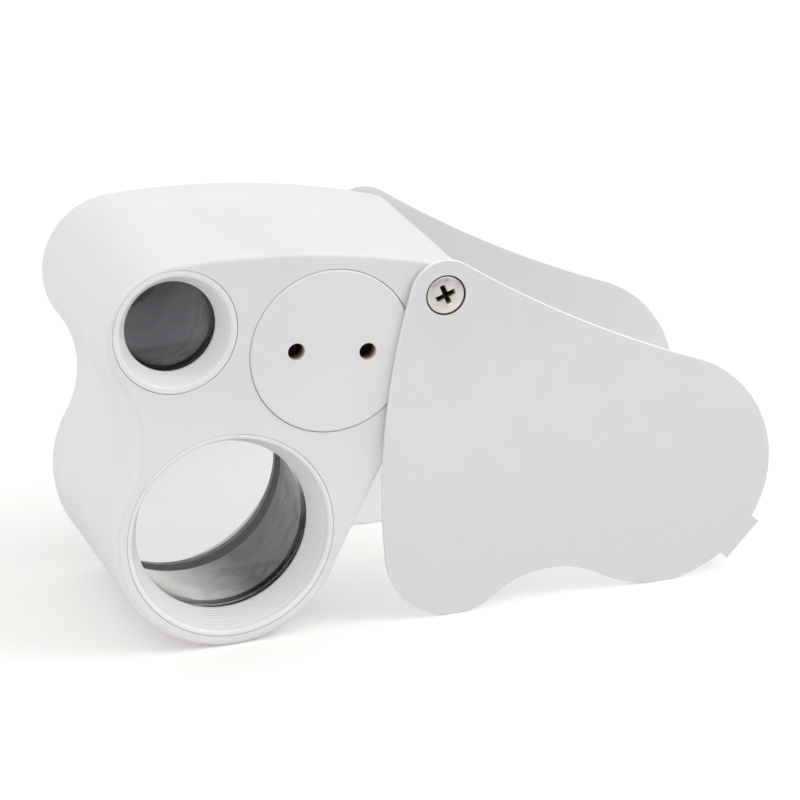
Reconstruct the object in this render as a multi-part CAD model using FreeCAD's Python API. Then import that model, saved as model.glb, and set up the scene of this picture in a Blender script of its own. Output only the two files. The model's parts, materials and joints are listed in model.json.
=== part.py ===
import FreeCAD, Part
import math
import os

# Twin-lens folding loupe, standing open on the floor, in millimetres.
# X runs from the lens body to the cover, +Y away from the eye, +Z up.
# The origin is on the floor, in the middle of the whole object.

# Outline of the lens body: lobes round the pivot and both lenses, and the arcs between them
body_ear_radius = 3.85
large_rim = 1.45
large_lobe_shift = (-0.14, 0.06)
small_rim = 1.65
small_lobe_shift = (0.63, -0.9)
body_top_radius = 107.5
body_waist_radius = 12.2
body_side_radius = 380.0
body_depth = 32.0
front_edge_round = 0.7
back_edge_round = 1.0

# Layout of the front: the pivot and both lens axes are placed from the battery cap
cap_offset = 14.7
cap_drop = 5.55
large_bearing = 238.1
large_cap_gap = 2.55
small_bearing = 165.4
small_cap_gap = 2.0

# Outline of the folding cover: lobes that lie over those of the body when it is shut
cover_ear_radius = 4.55
cover_large_radius = 15.35
cover_large_offset = 27.8
cover_small_radius = 9.05
cover_small_offset = 0.1
cover_edge_radius = 93.5
cover_waist_radius = 12.8
cover_top_radius = 151.0
sheet = 0.6
sheet_gap = 0.4
sheet_edge_round = 0.12
web_width = 6.3
web_gap = 0.3
web_bend = 0.5

# Walls of the housing and of its back panel
front_wall = 2.2
side_wall = 1.8
rim_wall = 0.9
panel_thickness = 1.8
tube_wall = 1.4
fit_gap = 0.05
running_gap = 0.08
overrun = 5.0

# Large lens group
large_ring_radius = 13.3
large_mouth_edge = 0.55
large_funnel_width = 1.6
large_funnel_depth = 4.2
large_ridge_count = 8
large_ring_break = 0.06
ring_lip = 0.3
mouth_round = 0.45
lead_share = 0.2
ridge_lift = 0.13
large_barrel_step = 0.9
large_barrel_wall = 0.75
large_back_room = 4.4
large_front_lip = 0.9
large_lip_height = 0.35
large_lens_edge = 2.4
large_lens_bulge = 0.9
large_rear_lens_edge = 2.0
large_spacer_wall = 0.6
retainer_length = 1.0
large_retainer_wall = 1.0
large_rear_step = 0.5
large_window_step = 1.1

# Small lens group
small_ring_radius = 7.9
small_mouth_edge = 0.75
small_funnel_width = 1.35
small_funnel_depth = 2.5
small_ridge_count = 5
small_ring_break = 0.12
small_barrel_step = 0.9
small_barrel_wall = 0.75
small_back_room = 5.6
small_front_lip = 0.8
small_lip_height = 0.35
small_lens_edge = 2.0
small_lens_bulge = 0.5
small_spacer_wall = 0.5
small_retainer_wall = 0.9
small_rear_step = 1.1

# Battery cap, cells and their contacts
cap_radius = 10.5
cap_thickness = 2.0
cap_proud = 0.2
cap_edge_round = 0.3
cap_boss_radius = 8.4
cap_boss_depth = 3.0
spanner_hole_radius = 1.1
spanner_hole_depth = 2.6
spanner_hole_spacing = 9.25
spanner_hole_slope = 7.6
well_floor = 1.2
cell_radius = 5.8
cell_height = 3.05
cell_count = 3
cell_edge_round = 0.4
contact_gap = 0.1
contact_radius = 7.0
contact_thickness = 0.3
sleeve_bore_gap = 0.15
sleeve_wall = 1.6
sleeve_floor = 1.2
cell_spring_height = 2.3
cell_spring_radius = 4.6
cell_spring_top = 1.4
cell_spring_sheet = 0.25
strip_width = 2.0
strip_thickness = 0.3

# Circuit board, lamps and switch
board_room = 5.6
board_thickness = 1.0
board_gap = 0.4
board_left = 25.8
board_right = 6.0
board_top = 4.0
board_bottom = 20.5
board_clearance = 0.5
post_radius = 1.2
upper_post_bearing = 16.0
lower_post_bearing = 29.0
lower_post_clearance = 3.3
led_radius = 1.5
led_flange_radius = 1.8
led_flange = 0.9
led_body = 3.4
led_leg_radius = 0.25
led_leg_spacing = 1.27
led_leg = 0.9
led_hole_radius = 1.65
large_led_bearing = 57.0
small_led_bearing = -21.0
small_led_clearance = 1.4
resistor_size = (3.2, 1.6)
resistor_height = 0.6
resistor_place = (-14.6, -9.0)
switch_place = (-10.6, -0.4)
switch_pin_radius = 1.0
switch_flange_radius = 1.6
switch_flange = 0.6
switch_proud = 0.12
switch_travel = 0.4
switch_tip_round = 0.25
leaf_width = 2.4
leaf_length = 5.0
leaf_thickness = 0.25

# Pivot: tapped post, countersunk screws and washers
post_outer_radius = 2.6
screw_shank_radius = 1.2
screw_neck_radius = 1.95
screw_head_radius = 2.45
countersink_gap = 0.2
screw_length = 6.0
head_recess = 0.04
cone_share = 0.72
washer_radius = 2.9
washer_play = 0.1
washer_seat = 0.4
cross_width = 0.62
cross_reach = 1.35
cross_depth = 1.1
cross_core_radius = 0.75
cross_turn = 20.0

# Places that follow from the sizes above
front_y = -body_depth / 2
back_y = body_depth / 2
plate_inner_y = body_depth / 2 + sheet_gap
plate_outer_y = plate_inner_y + sheet
panel_y = back_y - panel_thickness


def on_circle(centre, radius, angle):
    return (centre[0] + radius * math.cos(angle), centre[1] + radius * math.sin(angle))


def shifted(point, step):
    return (point[0] + step[0], point[1] + step[1])


# The layout as seen from the pivot, and then the pivot's own place over the floor
cap_step = (-cap_offset, -cap_drop)
large_step = on_circle(cap_step, cap_radius + large_ring_radius + large_cap_gap, math.radians(large_bearing))
small_step = on_circle(cap_step, cap_radius + small_ring_radius + small_cap_gap, math.radians(small_bearing))
large_lobe_radius = large_ring_radius + large_rim
small_lobe_radius = small_ring_radius + small_rim
large_lobe_step = shifted(large_step, large_lobe_shift)
small_lobe_step = shifted(small_step, small_lobe_shift)
body_left = min(large_lobe_step[0] - large_lobe_radius, small_lobe_step[0] - small_lobe_radius)
cover_right = cover_large_offset + cover_large_radius
pivot = (-(body_left + cover_right) / 2, large_lobe_radius - large_lobe_step[1])
cap_centre = shifted(pivot, cap_step)
large_lens = shifted(pivot, large_step)
small_lens = shifted(pivot, small_step)
large_lobe = shifted(pivot, large_lobe_step)
small_lobe = shifted(pivot, small_lobe_step)
large_ring_length = large_funnel_depth + ring_lip
small_ring_length = small_funnel_depth + ring_lip
large_barrel_radius = large_ring_radius - large_barrel_step
small_barrel_radius = small_ring_radius - small_barrel_step
large_rear_bore = large_barrel_radius - large_rear_step
small_rear_bore = small_barrel_radius - small_rear_step

body_lobes = (
    (pivot[0], pivot[1], body_ear_radius),
    (large_lobe[0], large_lobe[1], large_lobe_radius),
    (small_lobe[0], small_lobe[1], small_lobe_radius),
)
body_blends = (
    (body_side_radius, True),
    (body_waist_radius, True),
    (body_top_radius, False),
)
cover_lobes = (
    (pivot[0], pivot[1], cover_ear_radius),
    (pivot[0] + cover_large_offset, cover_large_radius, cover_large_radius),
    (pivot[0] + cover_small_offset, cover_small_radius, cover_small_radius),
)
cover_blends = (
    (cover_top_radius, True),
    (cover_waist_radius, True),
    (cover_edge_radius, False),
)

depth_axis = FreeCAD.Vector(0, 1, 0)


def spot(point, y=0.0):
    """A point of the front view, at a depth."""
    return FreeCAD.Vector(point[0], y, point[1])


def clear_of(lens_axis, barrel_radius, piece_radius, clearance, bearing):
    """A place beside a lens tube, far enough out for a round piece."""
    reach = barrel_radius + tube_wall + clearance + piece_radius
    return on_circle(lens_axis, reach, math.radians(bearing))


def blend_centre(first, second, radius, hollow):
    """Centre of the arc that touches two circles, outside them when it is hollow."""
    side = 1 if hollow else -1
    first_reach = radius + side * first[2]
    second_reach = radius + side * second[2]
    step_x = second[0] - first[0]
    step_z = second[1] - first[1]
    span = math.hypot(step_x, step_z)
    along = (first_reach ** 2 - second_reach ** 2 + span ** 2) / (2 * span ** 2)
    aside = side * math.sqrt(first_reach ** 2 - (along * span) ** 2) / span
    return (first[0] + along * step_x - aside * step_z,
            first[1] + along * step_z + aside * step_x)


def arc(centre, radius, start, end, clockwise, y):
    """Arc between two angles of the front view."""
    turn = (start - end) % (2 * math.pi) if clockwise else -((end - start) % (2 * math.pi))
    middle = start - turn / 2
    points = [spot(on_circle(centre, radius, angle), y) for angle in (start, middle, end)]
    return Part.Arc(*points).toShape()


def outline(lobes, blends, inset, y):
    """Face inside a clockwise chain of lobes and blending arcs, drawn in by the inset."""
    circles = [(x, z, radius - inset) for x, z, radius in lobes]
    count = len(circles)
    centres = []
    for index, (radius, hollow) in enumerate(blends):
        first = circles[index]
        second = circles[(index + 1) % count]
        drawn = radius + inset if hollow else radius - inset
        centres.append((blend_centre(first, second, drawn, hollow), drawn, hollow))

    def touch_angle(circle, blend):
        """Angle on a lobe at which its blending arc touches it."""
        centre, _, hollow = blend
        away = math.atan2(centre[1] - circle[1], centre[0] - circle[0])
        return away if hollow else away + math.pi

    edges = []
    for index, circle in enumerate(circles):
        after = centres[index]
        following = circles[(index + 1) % count]
        start = touch_angle(circle, centres[index - 1])
        end = touch_angle(circle, after)
        edges.append(arc(circle[:2], circle[2], start, end, True, y))
        centre, radius, hollow = after
        flip = math.pi if hollow else 0
        leave = end + flip
        arrive = touch_angle(following, after) + flip
        edges.append(arc(centre, radius, leave, arrive, not hollow, y))
    return Part.Face(Part.Wire(edges))


def slab(lobes, blends, inset, start, end):
    """Outline carried through from one depth to another."""
    return outline(lobes, blends, inset, start).extrude(FreeCAD.Vector(0, end - start, 0))


def rod(centre, radius, start, end):
    return Part.makeCylinder(radius, end - start, spot(centre, start), depth_axis)


def tube(centre, outer, inner, start, end):
    return rod(centre, outer, start, end).cut(rod(centre, inner, start - overrun, end + overrun))


def block(low, high):
    size = [top - bottom for bottom, top in zip(low, high)]
    return Part.makeBox(size[0], size[1], size[2], FreeCAD.Vector(*low))


def turned(centre, profile, start):
    """Solid turned about a lens axis from (radius, depth) points."""
    points = [FreeCAD.Vector(centre[0] + radius, start + depth, centre[1]) for radius, depth in profile]
    face = Part.Face(Part.makePolygon(points + points[:1]))
    return face.revolve(spot(centre), depth_axis, 360)


def rounded(solid, radius, y):
    """Round the edges of a slab that lie in the plane at one depth."""
    edges = [edge for edge in solid.Edges
             if abs(edge.BoundBox.YMin - y) < fit_gap and abs(edge.BoundBox.YMax - y) < fit_gap]
    return solid.makeFillet(radius, edges)


def mirrored(solid):
    return solid.mirror(FreeCAD.Vector(0, 0, 0), depth_axis)


def save(name, shape):
    if shape.ShapeType == "Compound" and len(shape.Solids) == 1:
        shape = shape.Solids[0]
    shape.exportStep("parts/" + name + ".step")
    print(name, len(shape.Solids), round(shape.Volume, 3), shape.isValid())


# Depths along the lens axes, measured from the front face
large_barrel_start = front_y + large_ring_length
large_barrel_end = panel_y - large_back_room
large_barrel_bore = large_barrel_radius - large_barrel_wall
small_barrel_start = front_y + small_ring_length
small_barrel_end = panel_y - small_back_room
small_barrel_bore = small_barrel_radius - small_barrel_wall
cap_seat_y = front_y + cap_thickness
well_y = cap_seat_y + cap_boss_depth
sleeve_y = well_y + contact_thickness + contact_gap
cells_end = sleeve_y + cell_count * cell_height
sleeve_floor_y = cells_end + cell_spring_height
sleeve_end = sleeve_floor_y + sleeve_floor
sleeve_bore = cell_radius + sleeve_bore_gap
sleeve_radius = sleeve_bore + sleeve_wall
board_back = panel_y - board_room
board_y = board_back - board_thickness
washer_thickness = washer_seat + sheet_gap - washer_play

# Places of the round pieces beside the lens tubes
upper_post = clear_of(small_lens, small_barrel_radius, post_radius, board_clearance, upper_post_bearing)
lower_post = clear_of(large_lens, large_barrel_radius, post_radius, lower_post_clearance, lower_post_bearing)
large_lamp = clear_of(large_lens, large_barrel_radius, led_flange_radius, board_clearance, large_led_bearing)
small_lamp = clear_of(
    small_lens, small_barrel_radius, led_flange_radius, small_led_clearance, small_led_bearing)
resistor_centre = shifted(pivot, resistor_place)
switch_centre = shifted(pivot, switch_place)


def housing_shell():
    """White moulding: front wall, side walls, lens tubes, battery well and pivot boss."""
    shell = slab(body_lobes, body_blends, 0, front_y, back_y)
    shell = rounded(shell, front_edge_round, front_y)
    shell = rounded(shell, back_edge_round, back_y)

    cavity = slab(body_lobes, body_blends, side_wall, front_y + front_wall, panel_y)
    solids_kept = [
        rod(large_lens, large_barrel_radius + tube_wall, front_y, panel_y),
        rod(small_lens, small_barrel_radius + tube_wall, front_y, panel_y),
        rod(pivot, post_outer_radius + tube_wall, front_y, panel_y),
        rod(cap_centre, cap_radius + tube_wall, front_y, well_y + well_floor),
        rod(upper_post, post_radius, front_y, board_y),
        rod(lower_post, post_radius, front_y, board_y),
    ]
    cavity = cavity.cut(solids_kept)
    strip_x = cap_centre[0]
    strip_low = cap_centre[1] - sleeve_radius - strip_thickness - 2 * fit_gap
    strip_half = strip_width / 2 + fit_gap
    cuts = [
        cavity,
        slab(body_lobes, body_blends, rim_wall, panel_y, back_y + overrun),
        rod(large_lens, large_ring_radius + fit_gap, front_y - overrun, large_barrel_start),
        rod(large_lens, large_barrel_radius + fit_gap, front_y, large_barrel_end),
        rod(large_lens, large_rear_bore, front_y, back_y),
        rod(small_lens, small_ring_radius + fit_gap, front_y - overrun, small_barrel_start),
        rod(small_lens, small_barrel_radius + fit_gap, front_y, small_barrel_end),
        rod(small_lens, small_rear_bore, front_y, back_y),
        rod(cap_centre, cap_radius + running_gap, front_y - overrun, cap_seat_y + fit_gap),
        rod(cap_centre, cap_boss_radius + running_gap, front_y, well_y + fit_gap),
        rod(cap_centre, sleeve_radius + fit_gap, front_y, well_y + well_floor + fit_gap),
        rod(pivot, post_outer_radius + fit_gap, front_y - overrun, back_y),
        rod(pivot, washer_radius + fit_gap, front_y - overrun, front_y + washer_seat),
        block((strip_x - strip_half, sleeve_y, strip_low),
              (strip_x + strip_half, well_y + well_floor + fit_gap, cap_centre[1])),
    ]
    return shell.cut(cuts)


def back_panel():
    """Plate set into the back, open at both lenses, the lamps, the switch pin and the pivot."""
    panel = slab(body_lobes, body_blends, rim_wall + fit_gap, panel_y, back_y)
    cuts = [
        rod(large_lens, large_rear_bore + large_window_step, panel_y - overrun, back_y + overrun),
        rod(small_lens, small_rear_bore, panel_y - overrun, back_y + overrun),
        rod(large_lamp, led_hole_radius, panel_y - overrun, back_y + overrun),
        rod(small_lamp, led_hole_radius, panel_y - overrun, back_y + overrun),
        rod(switch_centre, switch_pin_radius + running_gap, panel_y - overrun, back_y + overrun),
        rod(pivot, post_outer_radius + fit_gap, panel_y - overrun, back_y + overrun),
        rod(pivot, washer_radius + fit_gap, back_y - washer_seat, back_y + overrun),
    ]
    return panel.cut(cuts)


def eyepiece_ring(centre, radius, edge, width, depth, ridge_count, edge_break):
    """Funnel ring with a rounded mouth, whose inner slope is cut into fine ridges."""
    mouth = radius - edge
    aperture = mouth - width
    lead_in = width * lead_share
    lead_down = depth * lead_share
    profile = [
        (aperture, depth + ring_lip),
        (radius, depth + ring_lip),
        (radius, edge_break),
        (radius - edge_break, 0),
        (mouth, 0),
        (mouth - lead_in, lead_down),
    ]
    step_in = (width - lead_in) / ridge_count
    step_down = (depth - lead_down) / ridge_count
    for index in range(ridge_count):
        crest_in = mouth - lead_in - index * step_in - ridge_lift
        profile.append((crest_in, lead_down + index * step_down + step_down / 2))
        profile.append((mouth - lead_in - (index + 1) * step_in, lead_down + (index + 1) * step_down))
    ring = turned(centre, profile, front_y)
    rims = [edge for edge in ring.Edges
            if edge.BoundBox.YMax < front_y + fit_gap / 2 and edge.BoundBox.XLength < 2 * mouth + fit_gap]
    return ring.makeFillet(mouth_round, rims)


def barrel(centre, radius, bore, lip, lip_height, start, end):
    """Metal tube with a lip at its front that stops the lenses."""
    profile = [
        (bore - lip_height, 0),
        (radius, 0),
        (radius, end - start),
        (bore, end - start),
        (bore, lip),
        (bore - lip_height, lip),
    ]
    return turned(centre, profile, start)


def face_sphere(radius, bulge):
    """Radius of the sphere that a bulging lens face is part of."""
    return (radius ** 2 + bulge ** 2) / (2 * bulge)


def face_rise(radius, bulge, distance):
    """How far a bulging lens face stands over its rim at a distance from the axis."""
    sphere = face_sphere(radius, bulge)
    return bulge - sphere + math.sqrt(sphere ** 2 - distance ** 2)


def lens(centre, radius, edge, front_bulge, back_bulge, start):
    """Lens whose cylindrical rim starts at one depth, bulging outwards on its curved faces."""
    body = rod(centre, radius, start - 2 * front_bulge, start + edge + 2 * back_bulge)
    if front_bulge > 0:
        sphere = face_sphere(radius, front_bulge)
        body = body.common(Part.makeSphere(sphere, spot(centre, start - front_bulge + sphere)))
    if back_bulge > 0:
        sphere = face_sphere(radius, back_bulge)
        body = body.common(Part.makeSphere(sphere, spot(centre, start + edge + back_bulge - sphere)))
    return body


def large_group():
    """Large lenses, their spacer and the ring that holds them, from the front lip to the back."""
    seat = large_barrel_bore - fit_gap
    lip_rise = face_rise(seat, large_lens_bulge, large_barrel_bore - large_lip_height)
    spacer_rise = face_rise(seat, large_lens_bulge, seat - large_spacer_wall)
    eye_start = large_barrel_start + large_front_lip + lip_rise
    spacer_start = eye_start + large_lens_edge + spacer_rise
    retainer_start = large_barrel_end - retainer_length
    rear_start = retainer_start - large_rear_lens_edge
    save("large_eye_lens",
         lens(large_lens, seat, large_lens_edge, large_lens_bulge, large_lens_bulge, eye_start))
    save("large_lens_spacer",
         tube(large_lens, seat, seat - large_spacer_wall, spacer_start, rear_start - spacer_rise))
    save("large_rear_lens",
         lens(large_lens, seat, large_rear_lens_edge, large_lens_bulge, 0, rear_start))
    save("large_retaining_ring",
         tube(large_lens, seat, seat - large_retainer_wall, retainer_start, large_barrel_end))


def small_group():
    """Small lenses, their long spacer and the ring that holds them."""
    seat = small_barrel_bore - fit_gap
    lip_rise = face_rise(seat, small_lens_bulge, small_barrel_bore - small_lip_height)
    spacer_rise = face_rise(seat, small_lens_bulge, seat - small_spacer_wall)
    eye_start = small_barrel_start + small_front_lip + lip_rise
    spacer_start = eye_start + small_lens_edge + spacer_rise
    retainer_start = small_barrel_end - retainer_length
    rear_start = retainer_start - small_lens_edge
    save("small_eye_lens",
         lens(small_lens, seat, small_lens_edge, small_lens_bulge, small_lens_bulge, eye_start))
    save("small_lens_spacer",
         tube(small_lens, seat, seat - small_spacer_wall, spacer_start, rear_start - spacer_rise))
    save("small_rear_lens",
         lens(small_lens, seat, small_lens_edge, small_lens_bulge, 0, rear_start))
    save("small_retaining_ring",
         tube(small_lens, seat, seat - small_retainer_wall, retainer_start, small_barrel_end))


def battery_cap():
    """Round cap that stands a little proud, with a boss that turns in the well, and two spanner holes."""
    cap = rounded(rod(cap_centre, cap_radius, front_y - cap_proud, cap_seat_y), cap_edge_round,
                  front_y - cap_proud)
    cap = cap.fuse(rod(cap_centre, cap_boss_radius, front_y, well_y)).removeSplitter()
    slope = math.radians(-spanner_hole_slope)
    for turn in (slope, slope + math.pi):
        hole = on_circle(cap_centre, spanner_hole_spacing / 2, turn)
        cap = cap.cut(rod(hole, spanner_hole_radius, front_y - overrun, front_y + spanner_hole_depth))
    return cap


def battery_sleeve():
    """Cup round the cells, with a floor behind them."""
    cup = rod(cap_centre, sleeve_radius, sleeve_y + strip_thickness, sleeve_end)
    return cup.cut(rod(cap_centre, sleeve_bore, sleeve_y - overrun, sleeve_floor_y))


def button_cell(start):
    cell = rod(cap_centre, cell_radius, start, start + cell_height)
    return rounded(rounded(cell, cell_edge_round, start), cell_edge_round, start + cell_height)


def cell_spring():
    """Dished spring plate between the last cell and the sleeve's floor."""
    sheet_width = cell_spring_sheet * 2
    profile = [
        (0, 0),
        (cell_spring_top, 0),
        (cell_spring_radius, cell_spring_height - cell_spring_sheet),
        (cell_spring_radius, cell_spring_height),
        (cell_spring_radius - sheet_width, cell_spring_height),
        (cell_spring_top, cell_spring_sheet),
        (0, cell_spring_sheet),
    ]
    return turned(cap_centre, profile, cells_end)


def contact_strip():
    """Brass strip from the mouth of the sleeve, down its side, to the board."""
    half = strip_width / 2
    leg_high = cap_centre[1] - sleeve_radius - fit_gap
    leg_low = leg_high - strip_thickness
    tab = block((cap_centre[0] - half, sleeve_y, leg_low),
                (cap_centre[0] + half, sleeve_y + strip_thickness, cap_centre[1] - sleeve_bore))
    leg = block((cap_centre[0] - half, sleeve_y, leg_low),
                (cap_centre[0] + half, board_y, leg_high))
    return tab.fuse(leg).removeSplitter()


def circuit_board():
    """Board behind the battery, cut clear of both lens tubes and the pivot boss."""
    board = block((pivot[0] - board_left, board_y, pivot[1] - board_bottom),
                  (pivot[0] - board_right, board_back, pivot[1] + board_top))
    board = board.common(slab(body_lobes, body_blends, side_wall + board_gap, board_y, board_back))
    clear_of_tube = tube_wall + board_gap
    cuts = [
        rod(large_lens, large_barrel_radius + clear_of_tube, board_y - overrun, board_back + overrun),
        rod(small_lens, small_barrel_radius + clear_of_tube, board_y - overrun, board_back + overrun),
        rod(pivot, post_outer_radius + clear_of_tube, board_y - overrun, board_back + overrun),
    ]
    return board.cut(cuts)


def led(centre):
    """Round lamp on two legs, its dome in the back panel's hole."""
    base = board_back + led_leg
    dome = base + led_flange + led_body
    lamp = rod(centre, led_flange_radius, base, base + led_flange)
    ball = Part.makeSphere(led_radius, spot(centre, dome))
    lamp = lamp.fuse([rod(centre, led_radius, base, dome), ball])
    for side in (-1, 1):
        foot = (centre[0] + side * led_leg_spacing / 2, centre[1])
        lamp = lamp.fuse(rod(foot, led_leg_radius, board_back, base + led_flange))
    return lamp.removeSplitter()


def series_resistor():
    half_x = resistor_size[0] / 2
    half_z = resistor_size[1] / 2
    x, z = resistor_centre
    return block((x - half_x, board_back, z - half_z),
                 (x + half_x, board_back + resistor_height, z + half_z))


def switch_pin():
    """Pin through the back panel, with a flange that stops it inside."""
    centre = switch_centre
    top = back_y + switch_proud
    flange_top = panel_y - fit_gap
    flange_base = flange_top - switch_flange
    pin = rounded(rod(centre, switch_pin_radius, flange_base, top), switch_tip_round, top)
    return pin.fuse(rod(centre, switch_flange_radius, flange_base, flange_top)).removeSplitter()


def switch_leaf():
    """Bent contact leaf that stands on the board under the pin."""
    centre = switch_centre
    half = leaf_width / 2
    leaf_top = panel_y - fit_gap - switch_flange - switch_travel - running_gap
    left = centre[0] - leaf_length / 2
    foot = block((left, board_back, centre[1] - half),
                 (left + leaf_thickness, leaf_top, centre[1] + half))
    blade = block((left, leaf_top - leaf_thickness, centre[1] - half),
                  (left + leaf_length, leaf_top, centre[1] + half))
    return foot.fuse(blade).removeSplitter()


def pivot_post():
    """Tapped metal post through the housing's boss."""
    end = back_y - washer_seat
    post = rod(pivot, post_outer_radius, -end, end)
    return post.cut(rod(pivot, screw_shank_radius + fit_gap, -end - overrun, end + overrun))


def front_screw():
    """Countersunk cross-head screw: head in the plate, neck through it, shank in the post."""
    top = -plate_outer_y + head_recess
    cone_length = sheet * cone_share
    neck_end = front_y + washer_seat
    profile = [
        (0, 0),
        (screw_head_radius, 0),
        (screw_neck_radius, cone_length),
        (screw_neck_radius, neck_end - top),
        (screw_shank_radius, neck_end - top),
        (screw_shank_radius, screw_length),
        (0, screw_length),
    ]
    screw = turned(pivot, profile, top)
    half = cross_width / 2
    bottom = top + cross_depth
    bars = [
        block((pivot[0] - cross_reach, top - overrun, pivot[1] - half),
              (pivot[0] + cross_reach, bottom, pivot[1] + half)),
        block((pivot[0] - half, top - overrun, pivot[1] - cross_reach),
              (pivot[0] + half, bottom, pivot[1] + cross_reach)),
        Part.makeCone(cross_core_radius, 0, cross_depth + cross_core_radius, spot(pivot, top), depth_axis),
    ]
    for bar in bars:
        bar.rotate(spot(pivot), depth_axis, -cross_turn)
    return screw.cut(bars)


def front_washer():
    start = front_y + washer_seat - washer_thickness
    return tube(pivot, washer_radius, screw_neck_radius + fit_gap, start, front_y + washer_seat)


def cover_plate():
    """Front plate of the cover, with its countersunk pivot hole."""
    plate = slab(cover_lobes, cover_blends, 0, -plate_outer_y, -plate_inner_y)
    plate = rounded(plate, sheet_edge_round, -plate_outer_y)
    plate = rounded(plate, sheet_edge_round, -plate_inner_y)
    cone_length = sheet * cone_share
    hole = [
        (0, -overrun),
        (screw_head_radius + countersink_gap, -overrun),
        (screw_head_radius + countersink_gap, head_recess),
        (screw_neck_radius + running_gap, head_recess + cone_length),
        (screw_neck_radius + running_gap, overrun),
        (0, overrun),
    ]
    return plate.cut(turned(pivot, hole, -plate_outer_y))


def cover_web():
    """Strip that joins both plates past the large lobe, bent round at each end."""
    lobe_x = cover_large_offset
    lobe_z = cover_large_radius - pivot[1]
    body_reach = math.hypot(*large_lobe_step) + large_lobe_radius
    inner_reach = body_reach + web_gap
    outer_reach = inner_reach + sheet
    root_reach = math.hypot(lobe_x, lobe_z)
    half = web_width / 2
    bend = web_bend + sheet
    strip = block((root_reach, -plate_outer_y, -half), (outer_reach, plate_outer_y, half))
    corners = [edge for edge in strip.Edges
               if abs(edge.BoundBox.XMin - outer_reach) < fit_gap and edge.BoundBox.ZLength > half]
    strip = strip.makeFillet(bend, corners)
    hollow = block((root_reach - overrun, -plate_inner_y, -half - overrun),
                   (inner_reach, plate_inner_y, half + overrun))
    inner_corners = [edge for edge in hollow.Edges
                     if abs(edge.BoundBox.XMin - inner_reach) < fit_gap and edge.BoundBox.ZLength > half]
    strip = strip.cut(hollow.makeFillet(web_bend, inner_corners))
    strip.rotate(FreeCAD.Vector(0, 0, 0), depth_axis, math.degrees(math.atan2(-lobe_z, lobe_x)))
    strip.translate(spot(pivot))
    return strip


def folding_cover():
    front = cover_plate()
    return front.fuse([mirrored(front), cover_web()]).removeSplitter()


os.makedirs("parts", exist_ok=True)
save("housing_shell", housing_shell())
save("back_panel", back_panel())
save("large_eyepiece_ring", eyepiece_ring(
    large_lens, large_ring_radius, large_mouth_edge, large_funnel_width,
    large_funnel_depth, large_ridge_count, large_ring_break))
save("small_eyepiece_ring", eyepiece_ring(
    small_lens, small_ring_radius, small_mouth_edge, small_funnel_width,
    small_funnel_depth, small_ridge_count, small_ring_break))
save("large_barrel", barrel(
    large_lens, large_barrel_radius, large_barrel_bore, large_front_lip, large_lip_height,
    large_barrel_start, large_barrel_end))
save("small_barrel", barrel(
    small_lens, small_barrel_radius, small_barrel_bore, small_front_lip, small_lip_height,
    small_barrel_start, small_barrel_end))
large_group()
small_group()
save("battery_cap", battery_cap())
save("cap_contact", rod(cap_centre, contact_radius, well_y, well_y + contact_thickness))
save("battery_sleeve", battery_sleeve())
for index, name in enumerate(("front", "middle", "rear")):
    save("button_cell_" + name, button_cell(sleeve_y + index * cell_height))
save("cell_spring", cell_spring())
save("contact_strip", contact_strip())
save("circuit_board", circuit_board())
save("large_lens_led", led(large_lamp))
save("small_lens_led", led(small_lamp))
save("series_resistor", series_resistor())
save("switch_pin", switch_pin())
save("switch_leaf", switch_leaf())
save("pivot_post", pivot_post())
save("pivot_screws", Part.makeCompound([front_screw(), mirrored(front_screw())]))
save("pivot_washers", Part.makeCompound([front_washer(), mirrored(front_washer())]))
save("folding_cover", folding_cover())
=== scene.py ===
import json
import math

import bpy
from bpy.props import FloatProperty, FloatVectorProperty, IntProperty, PointerProperty
from mathutils import Matrix, Vector


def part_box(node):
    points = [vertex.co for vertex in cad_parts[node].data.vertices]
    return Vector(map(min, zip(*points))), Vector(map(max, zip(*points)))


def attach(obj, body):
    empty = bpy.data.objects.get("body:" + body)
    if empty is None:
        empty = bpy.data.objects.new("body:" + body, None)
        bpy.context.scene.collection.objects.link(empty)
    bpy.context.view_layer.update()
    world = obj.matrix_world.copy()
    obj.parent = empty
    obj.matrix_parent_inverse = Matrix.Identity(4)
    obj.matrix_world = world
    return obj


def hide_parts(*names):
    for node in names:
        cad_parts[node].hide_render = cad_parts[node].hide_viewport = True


bl_info = {
    "name": "Folding loupe",
    "version": (1, 0, 0),
    "blender": (4, 5, 0),
    "location": "View3D > Sidebar > Loupe",
    "description": "Finishes and a small studio for a twin-lens folding loupe",
    "category": "Object",
}

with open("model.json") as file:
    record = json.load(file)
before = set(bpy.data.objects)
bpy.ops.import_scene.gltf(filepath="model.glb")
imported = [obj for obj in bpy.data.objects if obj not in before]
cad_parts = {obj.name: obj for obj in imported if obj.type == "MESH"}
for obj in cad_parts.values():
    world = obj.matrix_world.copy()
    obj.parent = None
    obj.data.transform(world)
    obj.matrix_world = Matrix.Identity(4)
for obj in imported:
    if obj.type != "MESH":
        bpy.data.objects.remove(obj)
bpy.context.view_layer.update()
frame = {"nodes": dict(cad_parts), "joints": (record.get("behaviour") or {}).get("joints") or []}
nodes = frame["nodes"]


def joint_place(name):
    """A point on a joint's axis."""
    return Vector(next(joint["pos_m"] for joint in frame["joints"] if joint["name"] == name))


def mm(value):
    return value / 1000


PIVOT = joint_place("cover_swing")
CAP_AXIS = joint_place("cap_turn")
WHITE = (1, 1, 1)
# Edges sharper than the first are rounded, and faces that meet flatter than the second shade smooth
SHARP_ANGLE = math.radians(35)
SMOOTH_ANGLE = math.radians(30)
# Cosine above which a face counts as facing some way, and height within which faces are level
FACING = 0.99
LEVEL = mm(0.01)
# Width of one band of Blender's wave texture at a scale of one
WAVE_BAND = math.pi / 10
SENSOR_WIDTH = 36


# Properties

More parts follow.
